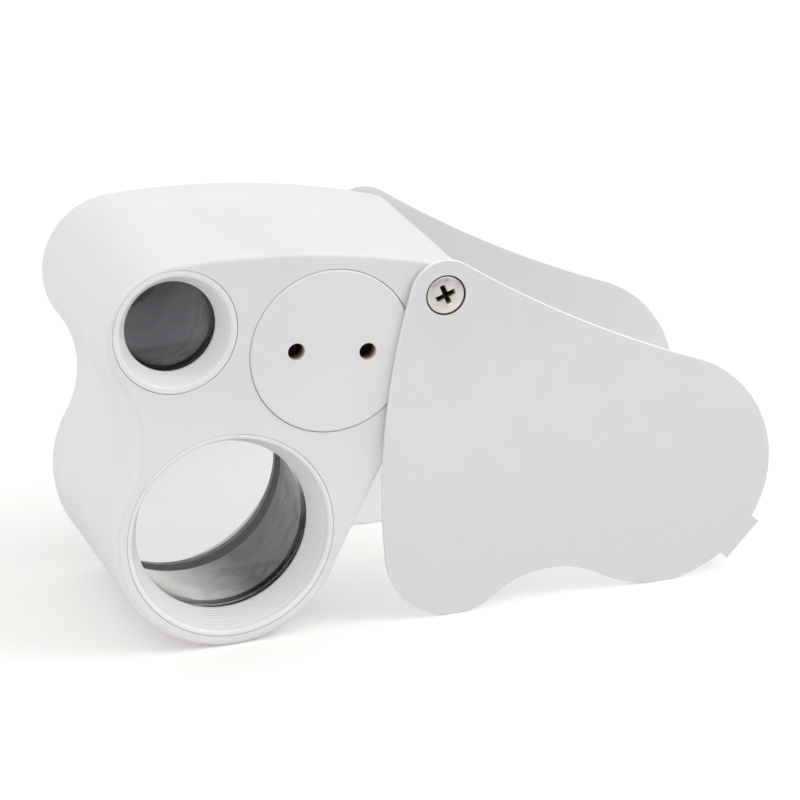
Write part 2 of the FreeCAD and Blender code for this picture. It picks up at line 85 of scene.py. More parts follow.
def linear(text):
    """Linear red, green and blue of an sRGB hex colour."""
    channels = [int(text[index:index + 2], 16) / 255 for index in (0, 2, 4)]
    return tuple(c / 12.92 if c <= 0.04045 else ((c + 0.055) / 1.055) ** 2.4 for c in channels)


def colour(name, text):
    return FloatVectorProperty(
        name=name, description=f"{name}, as it looks in plain light", subtype="COLOR", size=3,
        min=0, max=1, default=linear(text))


def length(name, description, default):
    """Property for a length, whose default is given in millimetres."""
    return FloatProperty(
        name=name, description=description, unit="LENGTH", min=0, default=mm(default))


def angle(name, description, default):
    """Property for an angle, whose default is given in degrees."""
    return FloatProperty(
        name=name, description=description, unit="ROTATION", default=math.radians(default))


def amount(name, description, default):
    """Property for a share, a strength or another plain number."""
    return FloatProperty(name=name, description=description, min=0, default=default)


def count(name, description, default):
    return IntProperty(name=name, description=description, min=0, default=default)


def direction(name, description, default):
    return FloatVectorProperty(
        name=name, description=description, subtype="DIRECTION", default=default)


class LoupeFinishes(bpy.types.PropertyGroup):
    """Colours of the loupe's pieces and the size of their grain."""
    housing: colour("Housing white", "E6E6E5")
    rings: colour("Ring white", "ECECEB")
    cap: colour("Cap white", "E7E7E6")
    silver: colour("Cover silver", "EBEBEC")
    # Painted light: the cover's inside is drawn lighter than its outside, and lighter still low
    # down
    lit_inner_silver: colour("Cover silver inside", "F0F0F1")
    lit_inner_low: colour("Cover silver inside, low down", "FEFEFE")
    # Partly painted highlight: the cover's bare edges are drawn in this lighter colour
    bare_and_lit_edges: colour("Bare edges of the cover, with their painted highlight", "F4F4F3")
    nickel: colour("Screw nickel", "F2F1E9")
    # Partly painted shade: recesses are drawn dark with this, as dirt and as the shade down in them
    shade_and_grime: colour("Painted shade and dirt in recesses", "241C12")
    stain: colour("Stain at the mouth of recesses", "A8906C")
    rust: colour("Rust in the cross recesses", "6A4028")
    spacer: colour("Large spacer metal", "323136")
    # Painted highlight: the large spacer is drawn in this colour away from its unlit side
    spacer_highlight: colour("Large spacer where it is rubbed", "F8F5F0")
    unlit_side: direction(
        "Unlit side", "Side of the large spacer that keeps its grey", (0.8, 0, -0.6))
    dark_barrel: colour("Barrel anodising", "17110D")
    glass: colour("Lens glass", "FCFCFD")
    coating: colour("Lens coating reflection", "F6EAFC")
    brass: colour("Brass", "C9A45C")
    steel: colour("Cell steel", "C4C4C2")
    mask: colour("Board solder mask", "1F5A38")
    black: colour("Black plastic", "1C1C1D")
    nylon: colour("Washer nylon", "E2E0D8")
    epoxy: colour("Lamp epoxy", "F6F3E6")
    plating: colour("Silver plating of the lamp cups", "DCDAD4")
    phosphor: colour("Lamp phosphor", "F4D468")
    grain: length("Moulding grain", "Width of the grain on the moulded faces", 0.3)
    blast: length("Blasting grain", "Width of the grain on the silver cover", 0.3)


class LoupeScrews(bpy.types.PropertyGroup):
    """Sizes of the two cross-head pivot screws."""
    head_radius: length("Head radius", "Radius of the countersunk head", 2.38)
    head_cone: length("Cone height", "Height of the head's cone", 0.43)
    neck_radius: length("Neck radius", "Radius of the part that turns in the cover", 1.95)
    shank_radius: length("Shank radius", "Radius of the shank in the post", 1.2)
    length: length("Length", "Length from the head's face", 5.9)
    rim_break: length("Rim break", "Width of the broken rim of the head", 0.12)
    wing_width: length("Wing width", "Width of each wing of the recess", 0.66)
    wing_span: length("Wing span", "Length of the recess across both wings", 2.7)
    recess_depth: length("Recess depth", "Depth of the cross recess", 1.1)
    recess_turn: angle("Recess turn", "Turn of the cross in the head", 20)
    recess_foot: amount(
        "Recess foot", "Share of its width that the recess has left at its depth", 0.55)
    recess_mouth: amount(
        "Recess mouth", "Share of its width that its cutter has as far above the face", 1.45)
    tear: length("Tear", "How far the recess's worn sides wander", 0.08)
    tear_seed: count("Tear seed", "Start of the random draws for the tear", 4)
    worn_edge: length("Worn edge", "Width of the rounding on worn edges", 0.03)
    corners: count("Corners", "Number of corners round the screw", 96)


class LoupeLamps(bpy.types.PropertyGroup):
    """Sizes of the cup and the phosphor inside each lamp."""
    cup_radius: length("Cup radius", "Radius of the cup that holds the chip", 1.0)
    cup_height: length("Cup height", "Height of the cup", 0.9)
    cup_rim: length("Cup rim", "Width of the cup's rim", 0.14)
    cup_depth: length("Cup depth", "Depth of the cup's hollow", 0.45)
    cup_taper: amount(
        "Cup taper", "Share of its width that the hollow keeps at the bottom", 0.6)
    cup_sink: length("Cup sink", "Depth of the cup's rim under the top of the dome", 2.2)
    post_radius: length("Post radius", "Radius of the post under the cup", 0.25)
    post_length: length("Post length", "Length of the post under the cup", 2.2)
    fill_gap: length("Fill gap", "Clearance between the phosphor and the cup", 0.03)
    soft_edge: length("Soft edge", "Width of the rounding on the edges", 0.03)
    corners: count("Corners", "Number of corners round each cup", 48)


class LoupeStudio(bpy.types.PropertyGroup):
    """Floor, lamps and camera."""
    floor: colour("Floor", "DCE4DC")
    floor_bounce: colour("Floor, for the light that it throws back", "ECEAEA")
    floor_end: colour("Floor beyond the table's end, for the light that it throws back", "4A4A4A")
    floor_glow: colour("Floor glow", "93888F")
    floor_span: length("Floor span", "Width and depth of the floor", 6000)
    dim_start: length(
        "Table end", "Distance at which the table begins to darken towards the camera", 120)
    dim_reach: length("Table end's width", "Length over which the table darkens", 300)
    room_light: amount("Room light", "Strength of the even light from all round", 0.62)
    dim_light: amount(
        "Dim light", "Strength of the room behind the camera, as metal and glass show it", 0.3)
    dim_side: direction("Dim side", "Where the room is dim", (0.25, -0.97, 0))
    key_light: amount("Key light", "Strength of the lamp at the upper right", 1.0)
    fill_light: amount("Fill light", "Strength of the lamp at the left", 1.0)
    top_light: amount("Top light", "Strength of the lamp overhead", 0.6)
    camera_place: FloatVectorProperty(
        name="Camera place", description="Where the camera stands", subtype="TRANSLATION",
        default=(mm(-162.2756), mm(-501.5581), mm(217.2209)))
    camera_azimuth: angle("Camera azimuth", "Turn of the camera round the object", -17.8498)
    camera_elevation: angle("Camera elevation", "Camera's height over the horizon", 20.2129)
    camera_roll: angle("Camera roll", "Lean of the camera", -1.8189)
    camera_lens: amount(
        "Camera lens", f"Focal length in mm on a sensor {SENSOR_WIDTH} mm wide", 196.881)


def finishes():
    return bpy.context.scene.loupe_finishes


# Nodes and materials

def feed(node, key, value):
    """Set a node's option or input; a socket, or a node's first live output, is linked to it."""
    if isinstance(value, bpy.types.Node):
        value = next(output for output in value.outputs if output.enabled)
    if isinstance(key, int):
        socket = node.inputs[key]
    elif hasattr(node, key):
        setattr(node, key, value)
        return
    else:
        socket = next(live for live in node.inputs if live.enabled and live.name == key)
    if isinstance(value, bpy.types.NodeSocket):
        node.id_data.links.new(value, socket)
    else:
        socket.default_value = value


def add(tree, kind, settings=None):
    """Add a node with its options, input values and links, in the order given."""
    made = tree.nodes.new(kind)
    for key, value in (settings or {}).items():
        feed(made, key, value)
    return made


def start_material(name, settings):
    """A material with a Principled surface, and the object coordinates for its patterns."""
    material = bpy.data.materials.new(name)
    material.use_nodes = True
    tree = material.node_tree
    tree.nodes.clear()
    surface = add(tree, "ShaderNodeBsdfPrincipled", settings)
    add(tree, "ShaderNodeOutputMaterial", {"Surface": surface})
    place = add(tree, "ShaderNodeTexCoord").outputs["Object"]
    return material, tree, surface, place


def finished(material):
    """A finished material's tree, surface, coordinates and own colour, to lay more over it."""
    tree = material.node_tree
    surface = next(node for node in tree.nodes if node.type == "BSDF_PRINCIPLED")
    place = next(node for node in tree.nodes if node.type == "TEX_COORD").outputs["Object"]
    return tree, surface, place, surface.inputs["Base Color"].links[0].from_socket


def tone(rgb, share=1.0):
    """A node's colour, at a share of the brightness of the one given."""
    return (*(min(1, channel * share) for channel in rgb), 1)


def patches(tree, place, size, low=0.0, high=1.0, detail=2.0, start=0.35, end=0.65):
    """Wander between two values in patches of a size; most of the noise lies from start to end."""
    noise = add(tree, "ShaderNodeTexNoise", {"Vector": place, "Scale": 1 / size, "Detail": detail})
    return add(tree, "ShaderNodeMapRange", {
        "Value": noise, "From Min": start, "From Max": end, "To Min": low, "To Max": high})


def clouded(tree, place, rgb, size, share, detail=2.0, most=1.0):
    """A colour that drifts towards a share of its brightness, in patches of a size."""
    cloud = patches(tree, place, size, high=most, detail=detail)
    return add(tree, "ShaderNodeMix", {
        "data_type": "RGBA", "Factor": cloud, "A": tone(rgb), "B": tone(rgb, share)})


def out_from_axis(tree, place, axis):
    """Vector from an axis along Y straight out to a place."""
    offset = add(tree, "ShaderNodeVectorMath", {"operation": "SUBTRACT", 0: place, 1: tuple(axis)})
    return add(tree, "ShaderNodeVectorMath", {"operation": "MULTIPLY", 0: offset, 1: (1, 0, 1)})


def radius_and_depth(tree, place, axis):
    """Distance from an axis along Y, and place along Y, both in metres."""
    radius = add(tree, "ShaderNodeVectorMath", {
        "operation": "LENGTH", 0: out_from_axis(tree, place, axis)})
    return radius, add(tree, "ShaderNodeSeparateXYZ", {0: place}).outputs["Y"]


def edge_mask(tree, radius):
    """One along edges, none on the open faces."""
    soft = add(tree, "ShaderNodeBevel", {"samples": 6, "Radius": radius})
    sharp = add(tree, "ShaderNodeNewGeometry").outputs["Normal"]
    facing = add(tree, "ShaderNodeVectorMath", {"operation": "DOT_PRODUCT", 0: soft, 1: sharp})
    return add(tree, "ShaderNodeMapRange", {"Value": facing, "From Min": 0.985, "From Max": 0.82})


def moulded_plastic(name, rgb, roughness, grain, rub_and_highlight=1.06):
    """Moulded thermoplastic: even colour, soft sheen, a fine eroded-tool grain, and edges rubbed
    and drawn lighter as a painted highlight.
    """
    material, tree, surface, place = start_material(name, {"IOR": 1.53})
    # Colour drifts by a few percent over about 14 mm, as the resin flowed
    body = clouded(tree, place, rgb, size=mm(14), share=0.965, detail=3)
    # Edges are drawn a little lighter, in patches of about 2 mm: rubbing, and a painted highlight
    painted_highlight = add(tree, "ShaderNodeMath", {
        "operation": "MULTIPLY", 0: edge_mask(tree, radius=mm(0.35)),
        1: patches(tree, place, mm(2), high=0.6, start=0.4, end=0.6)})
    feed(surface, "Base Color", add(tree, "ShaderNodeMix", {
        "data_type": "RGBA", "Factor": painted_highlight, "A": body, "B": tone(rgb, rub_and_highlight)}))
    # Handling polishes some places of about 6 mm more than others
    feed(surface, "Roughness", patches(tree, place, mm(6), roughness - 0.05, roughness + 0.06))
    # The tool's grain is about 0.05 mm, drawn coarser so that it shows
    pits = add(tree, "ShaderNodeTexNoise", {"Vector": place, "Scale": 1 / grain, "Detail": 3})
    feed(surface, "Normal", add(tree, "ShaderNodeBump", {
        "Height": pits, "Strength": 0.12, "Distance": mm(0.03)}))
    return material


def turned_metal(name, rgb, roughness, pitch, metallic=1.0):
    """Metal turned on a lathe, with fine rings round its axis, which lies along Y."""
    material, tree, surface, place = start_material(name, {"Metallic": metallic})
    # Tool marks lie about 0.1 mm apart, drawn wider so that they show
    along = add(tree, "ShaderNodeSeparateXYZ", {0: place}).outputs["Y"]
    rings = add(tree, "ShaderNodeTexNoise", {
        "noise_dimensions": "1D", "W": along, "Scale": 1 / pitch, "Detail": 2})
    crests = add(tree, "ShaderNodeMapRange", {
        "Value": rings, "From Min": 0.35, "From Max": 0.65, "To Max": 0.6})
    # Oil and oxide leave cloudy patches of about 4 mm
    body = clouded(tree, place, rgb, size=mm(4), share=0.75, most=0.5)
    feed(surface, "Base Color", add(tree, "ShaderNodeMix", {
        "data_type": "RGBA", "Factor": crests, "A": body, "B": tone(rgb, 1.25)}))
    feed(surface, "Roughness", patches(tree, place, mm(1.5), roughness - 0.05, roughness + 0.06))
    feed(surface, "Normal", add(tree, "ShaderNodeBump", {
        "Height": rings, "Strength": 0.15, "Distance": mm(0.02)}))
    return material


def rolled_metal(name, rgb, roughness):
    """Rolled or plated metal sheet: bright, with small scratches and dull patches."""
    material, tree, surface, place = start_material(name, {"Metallic": 1})
    feed(surface, "Base Color", clouded(tree, place, rgb, size=mm(2.5), share=0.88))
    feed(surface, "Roughness", patches(tree, place, mm(0.8), roughness - 0.05, roughness + 0.1))
    # Scratches lie about 0.25 mm apart, and run mostly along Y
    stretched = add(tree, "ShaderNodeMapping", {"Vector": place, "Scale": (1, 0.08, 0.3)})
    scratches = add(tree, "ShaderNodeTexNoise", {
        "Vector": stretched, "Scale": 1 / mm(0.25), "Detail": 2})
    feed(surface, "Normal", add(tree, "ShaderNodeBump", {
        "Height": scratches, "Strength": 0.08, "Distance": mm(0.02)}))
    return material


def coat(piece, material):
    """Give a piece its material."""
    piece.data.materials.clear()
    piece.data.materials.append(material)


def dress(material, slot, *names):
    """Give CAD nodes their material."""
    for name in names:
        coat(nodes[name], material)


# Modelling helpers

def middle(node):
    """Centre of a CAD node's box."""
    low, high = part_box(node)
    return tuple((low + high) / 2)


def select_nothing():
    bpy.ops.object.select_all(action="DESELECT")


def pick(*pieces):
    """Select only these pieces, with the first one active."""
    select_nothing()
    for piece in pieces:
        piece.select_set(True)
    bpy.context.view_layer.objects.active = pieces[0]


def pick_faces(piece, wanted):
    """Go to edit mode with only the wanted faces selected."""
    bpy.ops.object.mode_set(mode="EDIT")
    bpy.ops.mesh.select_mode(type="FACE")
    bpy.ops.mesh.select_all(action="DESELECT")
    bpy.ops.object.mode_set(mode="OBJECT")
    for face in piece.data.polygons:
        face.select = wanted(face)
    bpy.ops.object.mode_set(mode="EDIT")


def extrude(piece, wanted, step):
    """Pull the wanted faces out by a step."""
    pick_faces(piece, wanted)
    bpy.ops.mesh.extrude_region_move(TRANSFORM_OT_translate={"value": step})
    bpy.ops.object.mode_set(mode="OBJECT")


def resize(piece, wanted, share, centre):
    """Scale the wanted faces across, about a centre."""
    pick_faces(piece, wanted)
    bpy.ops.transform.resize(value=(share, share, 1), center_override=centre)
    bpy.ops.object.mode_set(mode="OBJECT")


def inset(piece, wanted, width, rise):
    """Inset the wanted faces, and raise what is inside."""
    pick_faces(piece, wanted)
    bpy.ops.mesh.inset(thickness=width, depth=rise)
    bpy.ops.object.mode_set(mode="OBJECT")


def faces_up(face):
    return face.normal.z > FACING


def faces_down(face):
    return face.normal.z < -FACING


def lowest(piece):
    """Test for the downward faces at the very bottom."""
    floor = min(vertex.co.z for vertex in piece.data.vertices)
    return lambda face: faces_down(face) and face.center.z < floor + LEVEL


def many_sided(test):
    """The same test for faces, but only for those with more than four corners."""
    return lambda face: test(face) and len(face.vertices) > 4


def keep_place():
    """Carry the selected piece's place, turn and size over to its mesh."""
    bpy.ops.object.transform_apply(location=True, rotation=True, scale=True)


def start_rod(radius, height, corners):
    """Upright rod whose top face lies at the origin."""
    select_nothing()
    bpy.ops.mesh.primitive_cylinder_add(
        vertices=corners, radius=radius, depth=height, location=(0, 0, -height / 2))
    keep_place()
    return bpy.context.object


def apply_modifier(piece, kind, **settings):
    """Add a modifier, set it and apply it."""
    bpy.context.view_layer.objects.active = piece
    modifier = piece.modifiers.new(kind, kind)
    for key, value in settings.items():
        setattr(modifier, key, value)
    bpy.ops.object.modifier_apply(modifier=modifier.name)


def soften(piece, width):
    """Round the piece's edges a little and shade it smooth between them."""
    apply_modifier(piece, "BEVEL", width=width, segments=2, limit_method="ANGLE",
                   angle_limit=SHARP_ANGLE, use_clamp_overlap=True)
    pick(piece)
    bpy.ops.object.shade_smooth_by_angle(angle=SMOOTH_ANGLE)


def put(piece, place, turn):
    """Turn a piece about X, set it in place, and keep both in its mesh."""
    pick(piece)
    piece.rotation_euler = (turn, 0, 0)
    piece.location = place
    keep_place()


def copy_of(piece, name):
    """A copy with a mesh of its own."""
    twin = piece.copy()
    twin.data = piece.data.copy()
    twin.name = name
    bpy.context.scene.collection.objects.link(twin)
    return twin


# Pieces

class LOUPE_OT_housing(bpy.types.Operator):
    """Finish the white moulded housing and its back panel"""
    bl_idname = "loupe.housing"
    bl_label = "Housing"

    def execute(self, context):
        settings = finishes()
        # Satin ABS: even and milky, with a broad soft sheen
        white = moulded_plastic(
            "ABS_moulded_satin_white", settings.housing, roughness=0.42, grain=settings.grain)
        dress(white, "housing_white", "housing_shell", "back_panel")
        return {"FINISHED"}


class LOUPE_OT_eyepiece_rings(bpy.types.Operator):
    """Finish both white eyepiece rings"""
    bl_idname = "loupe.eyepiece_rings"
    bl_label = "Eyepiece rings"

    def execute(self, context):
        settings = finishes()
        # ABS from a polished tool: a little whiter and smoother than the housing
        white = moulded_plastic(
            "ABS_moulded_smooth_white", settings.rings, roughness=0.36, grain=settings.grain,
            rub_and_highlight=1.01)
        dress(white, "ring_white", "large_eyepiece_ring", "small_eyepiece_ring")
        return {"FINISHED"}


class LOUPE_OT_battery_cap(bpy.types.Operator):
    """Finish the battery cap, with dirt and painted shade down its spanner holes"""
    bl_idname = "loupe.battery_cap"
    bl_label = "Battery cap"

    def execute(self, context):
        settings = finishes()
        # Satin ABS like the housing, stained at the mouths of both holes, and drawn dark further
        # down: dirt and painted shade
        cap = moulded_plastic(
            "ABS_moulded_satin_white_cap", settings.cap, roughness=0.4, grain=settings.grain)
        tree, surface, place, layers = finished(cap)
        radius, depth = radius_and_depth(tree, place, CAP_AXIS)
        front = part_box("battery_cap")[0][1]
        # The holes lie within 6.5 mm of the axis, and the cap's rim stays clean
        near = add(tree, "ShaderNodeMapRange", {
            "Value": radius, "From Min": mm(7), "From Max": mm(6.5)})
        for rgb, start, end in (
                (settings.stain, mm(0.35), mm(0.9)),
                (settings.shade_and_grime, mm(1), mm(2))):
            deep = add(tree, "ShaderNodeMapRange", {
                "Value": depth, "From Min": front + start, "From Max": front + end})
            shade_and_dirt = add(tree, "ShaderNodeMath", {"operation": "MULTIPLY", 0: deep, 1: near})
            layers = add(tree, "ShaderNodeMix", {
                "data_type": "RGBA", "Factor": shade_and_dirt, "A": layers, "B": tone(rgb)})
        feed(surface, "Base Color", layers)
        dress(cap, "cap_white", "battery_cap")
        return {"FINISHED"}


class LOUPE_OT_barrels(bpy.types.Operator):
    """Finish the metal lens barrels, spacers and retaining rings"""
    bl_idname = "loupe.barrels"
    bl_label = "Lens barrels"

    def execute(self, context):
        settings = finishes()
        # Turned aluminium with a dark grey finish, which is a metal crescent in the large lens
        grey = turned_metal(
            "Aluminium_turned_grey", settings.spacer, roughness=0.42, pitch=mm(0.9))
        tree, surface, place, dull = finished(grey)
        # Painted highlight: away from its unlit side the spacer is drawn light, so that the metal
        # seems to shine there
        outward = add(tree, "ShaderNodeVectorMath", {
            "operation": "NORMALIZE",
            0: out_from_axis(tree, place, middle("large_lens_spacer"))})
        facing = add(tree, "ShaderNodeVectorMath", {
            "operation": "DOT_PRODUCT", 0: outward, 1: settings.unlit_side})
        painted_highlight = add(tree, "ShaderNodeMapRange", {
            "Value": facing, "From Min": 0.9, "From Max": 0.4})
        feed(surface, "Base Color", add(tree, "ShaderNodeMix", {
            "data_type": "RGBA", "Factor": painted_highlight, "A": dull, "B": tone(settings.spacer_highlight)}))
        dress(grey, "barrel_grey", "large_lens_spacer")
        # Turned and black anodised, which keeps stray light out of both lenses
        dark = turned_metal(
            "Aluminium_turned_black_anodised", settings.dark_barrel, roughness=0.45,
            pitch=mm(0.6), metallic=0)
        # The anodising is porous, so its sheen is weak
        feed(finished(dark)[1], "Specular IOR Level", 0.2)
        dress(dark, "barrel_dark", "large_barrel", "small_barrel", "small_lens_spacer",
              "large_retaining_ring", "small_retaining_ring")
        return {"FINISHED"}


class LOUPE_OT_lenses(bpy.types.Operator):
    """Finish the four polished glass lenses"""
    bl_idname = "loupe.lenses"
    bl_label = "Lenses"

    def execute(self, context):
        settings = finishes()
        # Polished optical glass: clear, bends the view, with the faintest wiped haze. The coating
        # of the small lenses throws back a breath of purple
        for name, tint, pieces in (
                ("Optical_glass_polished", WHITE, ("large_eye_lens", "large_rear_lens")),
                ("Optical_glass_coated", settings.coating, ("small_eye_lens", "small_rear_lens"))):
            glass, tree, surface, place = start_material(name, {
                "IOR": 1.52, "Transmission Weight": 1, "Base Color": tone(settings.glass),
                "Specular Tint": tone(tint)})
            feed(surface, "Roughness", patches(tree, place, mm(5), high=0.01, detail=4))
            dress(glass, "lens_glass", *pieces)
        return {"FINISHED"}


class LOUPE_OT_cover(bpy.types.Operator):
    """Finish the folding sheet-metal cover"""
    bl_idname = "loupe.cover"
    bl_label = "Folding cover"

    def execute(self, context):
        settings = finishes()
        # Aluminium sheet, bead blasted and clear anodised: an even satin silver without streaks
        silver, tree, surface, place = start_material(
            "Aluminium_blasted_clear_anodised", {"Metallic": 0.6})
        body = clouded(tree, place, settings.silver, size=mm(9), share=0.98, detail=3)
        # Painted shade: the outer faces are drawn a little darker towards the foot, over the lowest
        # 26 mm
        height = add(tree, "ShaderNodeSeparateXYZ", {0: place}).outputs["Z"]
        foot = add(tree, "ShaderNodeMapRange", {
            "Value": height, "From Min": mm(26), "From Max": 0})
        outer = add(tree, "ShaderNodeMix", {
            "data_type": "RGBA", "Factor": foot, "A": body, "B": tone(settings.silver, 0.905)})
        # Painted light: the inside faces are drawn lighter, and lighter still below 8 mm, where
        # light from the floor falls on them
        low = add(tree, "ShaderNodeMapRange", {
            "Value": height, "From Min": mm(16), "From Max": mm(8)})
        lit_inside = add(tree, "ShaderNodeMix", {
            "data_type": "RGBA", "Factor": low, "A": tone(settings.lit_inner_silver),
            "B": tone(settings.lit_inner_low)})
        radius, depth = radius_and_depth(tree, place, PIVOT)
        out = add(tree, "ShaderNodeMath", {"operation": "ABSOLUTE", 0: depth})
        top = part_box("folding_cover")[1][1]
        inside = add(tree, "ShaderNodeMapRange", {
            "Value": out, "From Min": top - mm(0.2), "From Max": top - mm(0.5)})
        face = add(tree, "ShaderNodeMix", {
            "data_type": "RGBA", "Factor": inside, "A": outer, "B": lit_inside})
        # The edges and the corners are drawn lighter: bare metal at the cut, and a painted
        # highlight
        edge = edge_mask(tree, radius=mm(0.2))
        painted_highlight = add(tree, "ShaderNodeMix", {
            "data_type": "RGBA", "Factor": edge, "A": face, "B": tone(settings.bare_and_lit_edges)})
        # Painted shade lies round the screw heads, down in the countersinks
        sunk = add(tree, "ShaderNodeMapRange", {
            "Value": out, "From Min": top - mm(0.03), "From Max": top - mm(0.12)})
        near = add(tree, "ShaderNodeMapRange", {
            "Value": radius, "From Min": mm(2.75), "From Max": mm(2.7)})
        shade_and_dirt = add(tree, "ShaderNodeMath", {"operation": "MULTIPLY", 0: sunk, 1: near})
        feed(surface, "Base Color", add(tree, "ShaderNodeMix", {
            "data_type": "RGBA", "Factor": shade_and_dirt, "A": painted_highlight, "B": tone(settings.shade_and_grime)}))
        # Edges are rubbed smooth
        dull = patches(tree, place, mm(3), 0.6, 0.68)
        feed(surface, "Roughness", add(tree, "ShaderNodeMath", {
            "operation": "MULTIPLY_ADD", 0: edge, 1: -0.2, 2: dull}))
        # Blasting leaves dimples of about 0.06 mm, drawn coarser so that they show
        dimples = add(tree, "ShaderNodeTexNoise", {
            "Vector": place, "Scale": 1 / settings.blast, "Detail": 3})
        feed(surface, "Normal", add(tree, "ShaderNodeBump", {
            "Height": dimples, "Strength": 0.1, "Distance": mm(0.03)}))
        dress(silver, "cover_silver", "folding_cover")
        return {"FINISHED"}


def recess_cutter(sizes):
    """Cross-shaped plug with tapering, slightly torn sides, for cutting a screw's recess."""
    depth = sizes.recess_depth
    half = sizes.wing_width / 2
    arm = sizes.wing_span / 2 - half
    bpy.ops.mesh.primitive_cube_add(
        size=1, location=(0, 0, 0), scale=(2 * half, 2 * half, 2 * depth))
    cutter = bpy.context.object
    keep_place()
    for way in ((1, 0, 0), (0, 1, 0), (-1, 0, 0), (0, -1, 0)):
        out = Vector(way)
        extrude(cutter, lambda face: (face.normal.dot(out) > FACING
                                      and face.center.cross(out).length < half / 2), out * arm)
    resize(cutter, faces_down, sizes.recess_foot, (0, 0, -depth))
    resize(cutter, faces_up, sizes.recess_mouth, (0, 0, depth))
    pick_faces(cutter, lambda face: True)
    bpy.ops.mesh.subdivide(number_cuts=4)
    bpy.ops.transform.vertex_random(offset=sizes.tear, seed=sizes.tear_seed)
    bpy.ops.object.mode_set(mode="OBJECT")
    pick(cutter)
    cutter.rotation_euler = (0, 0, sizes.recess_turn)
    keep_place()
    return cutter


def cross_head_screw(sizes, neck_length):
    """Countersunk screw standing head up, with its head's face at the origin."""
    screw = start_rod(sizes.head_radius, sizes.head_cone, sizes.corners)
    resize(screw, lowest(screw), sizes.neck_radius / sizes.head_radius, (0, 0, -sizes.head_cone))
    extrude(screw, lowest(screw), (0, 0, sizes.head_cone - neck_length))
    inset(screw, lowest(screw), sizes.neck_radius - sizes.shank_radius, 0)
    extrude(screw, many_sided(faces_down), (0, 0, neck_length - sizes.length))
    # The rim is broken, and the face rises a little towards the recess
    inset(screw, faces_up, sizes.rim_break, sizes.rim_break / 2)
    inset(screw, many_sided(faces_up), sizes.head_radius / 3, sizes.rim_break / 4)
    inset(screw, many_sided(faces_up), sizes.head_radius / 8, 0)
    cutter = recess_cutter(sizes)
    apply_modifier(screw, "BOOLEAN", operation="DIFFERENCE", object=cutter, solver="EXACT")
    bpy.data.objects.remove(cutter)
    soften(screw, sizes.worn_edge)
    return screw


class LOUPE_OT_pivot(bpy.types.Operator):
    """Model both cross-head screws, and finish them with the washers and the post"""
    bl_idname = "loupe.pivot"
    bl_label = "Pivot"

    def execute(self, context):
        settings = finishes()
        sizes = context.scene.loupe_screws
        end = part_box("pivot_screws")[1][1]
        face = end - sizes.rim_break
        neck_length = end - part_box("pivot_post")[1][1]
        front = cross_head_screw(sizes, neck_length)
        back = copy_of(front, "back_screw")
        put(front, (PIVOT[0], -face, PIVOT[2]), math.pi / 2)
        put(back, (PIVOT[0], face, PIVOT[2]), -math.pi / 2)
        pick(front, back)
        bpy.ops.object.join()
        front.name = "cross_head_screws"

        # Nickel-plated steel, faintly warm, with brown dirt, rust and painted shade down the cross
        # recess
        nickel = rolled_metal("Steel_nickel_plated", settings.nickel, roughness=0.42)
        tree, surface, place, clean = finished(nickel)
        radius, depth = radius_and_depth(tree, place, PIVOT)
        out = add(tree, "ShaderNodeMath", {"operation": "ABSOLUTE", 0: depth})
        near = add(tree, "ShaderNodeMapRange", {
            "Value": radius, "From Min": mm(1.8), "From Max": mm(1.6)})
        # Down the recess the colour goes from stain to dirt and rust, with painted shade
        worn = add(tree, "ShaderNodeMapRange", {
            "Value": out, "From Min": face - mm(0.04), "From Max": face - mm(0.3)})
        deep = add(tree, "ShaderNodeMapRange", {
            "Value": out, "From Min": face - mm(0.3), "From Max": face - mm(0.7)})
        rusty = patches(tree, place, mm(0.5), start=0.42, end=0.58)
        shade_and_grime = add(tree, "ShaderNodeMix", {
            "data_type": "RGBA", "Factor": rusty, "A": tone(settings.shade_and_grime),
            "B": tone(settings.rust)})
        recess = add(tree, "ShaderNodeMix", {
            "data_type": "RGBA", "Factor": deep, "A": tone(settings.stain), "B": shade_and_grime})
        shade_and_dirt = add(tree, "ShaderNodeMath", {"operation": "MULTIPLY", 0: worn, 1: near})
        feed(surface, "Base Color", add(tree, "ShaderNodeMix", {
            "data_type": "RGBA", "Factor": shade_and_dirt, "A": clean, "B": recess}))
        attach(front, "lens_body")
        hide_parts("pivot_screws")
        coat(front, nickel)
        dress(nickel, "screw_nickel", "pivot_screws")
        # Nylon washer: waxy, off white
        nylon = moulded_plastic(
            "Nylon_plain", settings.nylon, roughness=0.45, grain=settings.grain)
        dress(nylon, "washer_nylon", "pivot_washers")
        # Turned brass post, plain and yellow
        brass = turned_metal("Brass_turned", settings.brass, roughness=0.3, pitch=mm(0.4))
        dress(brass, "post_brass", "pivot_post")
        return {"FINISHED"}


